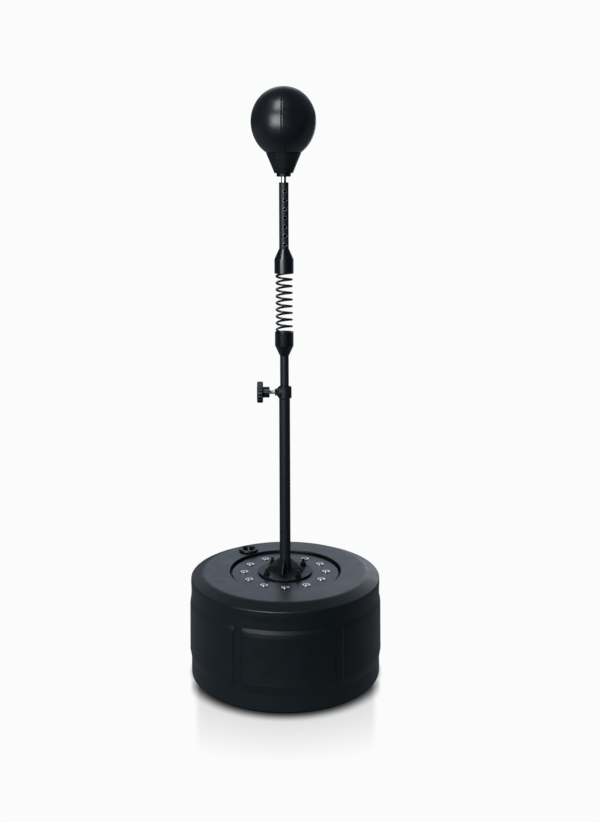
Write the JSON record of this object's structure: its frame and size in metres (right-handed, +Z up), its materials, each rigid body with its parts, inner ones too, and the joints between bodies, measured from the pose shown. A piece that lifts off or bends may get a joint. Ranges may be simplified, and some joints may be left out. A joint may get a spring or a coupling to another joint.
{
  "type": "free-standing reflex punching ball",
  "caption": "Free-standing reflex punching ball on a coil-spring, height-adjustable steel pole with a clamp knob and a fillable round drum base.",
  "frame": {"origin": "on the floor under the pole's axis, at the centre of the drum's underside", "axes": "+Z up along the pole, -Y towards the front, -X towards the clamp knob"},
  "size_m": [0.5208, 0.5206, 1.6],
  "materials": {
    "moulded_drum": "satin blow-moulded polyethylene, blue-black",
    "moulded_cap": "satin moulded plastic, black",
    "moulded_knob": "satin moulded plastic with rubbed flutes, black",
    "powder_coat": "fine-textured black powder coat",
    "gloss_paint": "glossy black enamel",
    "spring_wire": "black enamelled spring wire",
    "black_steel": "black oxide",
    "bright_steel": "bright zinc plate",
    "brass": "turned",
    "nylon": "natural nylon",
    "seal_rubber": "matte",
    "cup_rubber": "smooth moulded, satin",
    "ball_leather": "fine-grained black synthetic leather with a soft sheen"
  },
  "bodies": {
    "base": {"base_drum": "moulded_drum", "lid_disc": "moulded_drum", "lid_gasket": "seal_rubber", "lid_screw_01": "bright_steel", "lid_screw_02": "bright_steel", "lid_screw_03": "bright_steel", "lid_screw_04": "bright_steel", "lid_screw_05": "bright_steel", "lid_screw_06": "bright_steel", "lid_screw_07": "bright_steel", "lid_screw_08": "bright_steel", "lid_screw_09": "bright_steel", "lid_screw_10": "bright_steel", "lid_screw_11": "bright_steel", "lid_screw_12": "bright_steel", "flange_plate": "powder_coat", "backing_plate": "black_steel", "gusset_1": "powder_coat", "gusset_2": "powder_coat", "gusset_3": "powder_coat", "gusset_4": "powder_coat", "flange_bolt_1": "black_steel", "flange_bolt_2": "black_steel", "flange_bolt_3": "black_steel", "flange_bolt_4": "black_steel", "flange_washer_1": "black_steel", "flange_washer_2": "black_steel", "flange_washer_3": "black_steel", "flange_washer_4": "black_steel", "flange_nut_1": "black_steel", "flange_nut_2": "black_steel", "flange_nut_3": "black_steel", "flange_nut_4": "black_steel", "outer_tube": "powder_coat", "guide_bush": "nylon", "collar": "powder_coat", "collar_nut": "black_steel"},
    "cap_seal": {"fill_cap_seal": "seal_rubber"},
    "cap": {"fill_cap": "moulded_cap"},
    "clamp_pad": {"friction_pad": "brass"},
    "clamp_knob": {"knob_screw": "bright_steel", "knob": "moulded_knob"},
    "mast": {"inner_tube": "powder_coat", "mast_glide": "nylon", "lower_spring_seat": "gloss_paint"},
    "spring_middle": {"spring": "spring_wire"},
    "head": {"upper_spring_seat": "gloss_paint", "upper_tube": "powder_coat", "upper_tube_plug": "black_steel", "coupling_stud": "bright_steel", "neck_ring": "cup_rubber", "neck_cup": "cup_rubber", "anchor_insert": "bright_steel", "ball_cover": "ball_leather", "bladder": "seal_rubber", "bladder_valve": "seal_rubber"}
  },
  "joints": [
    {"name": "cap_lift", "type": "slide", "parent": "base", "child": "cap_seal", "axis": [0, 0, 1], "range_m": [0, 0.009]},
    {"name": "cap_turn", "type": "hinge", "parent": "cap_seal", "child": "cap", "pos_m": [-0.106, 0.15, 0.2702], "axis": [0, 0, 1], "range_deg": [0, 1090]},
    {"name": "clamp_travel", "type": "slide", "parent": "base", "child": "clamp_pad", "axis": [-1, 0, 0], "range_m": [0, 0.0045]},
    {"name": "clamp_turn", "type": "hinge", "parent": "clamp_pad", "child": "clamp_knob", "pos_m": [-0.041, 0, 0.7578], "axis": [-1, 0, 0], "range_deg": [0, 1090]},
    {"name": "height_slide", "type": "slide", "parent": "base", "child": "mast", "axis": [0, 0, 1], "range_m": [-0.08, 0.2]},
    {"name": "sway_side", "type": "hinge", "parent": "mast", "child": "spring_middle", "pos_m": [0, 0, 0.964], "axis": [0, 1, 0], "range_deg": [-35, 35], "stiffness_Nm_per_rad": 80, "deforming": ["spring"]},
    {"name": "sway_front", "type": "hinge", "parent": "spring_middle", "child": "head", "pos_m": [0, 0, 1.044], "axis": [1, 0, 0], "range_deg": [-35, 35], "stiffness_Nm_per_rad": 80, "deforming": ["spring"]}
  ],
  "couplings": [
    {"joint": "cap_turn", "follows": "cap_lift", "rad_per_m": 2094.4},
    {"joint": "clamp_turn", "follows": "clamp_travel", "rad_per_m": 4188.8}
  ]
}
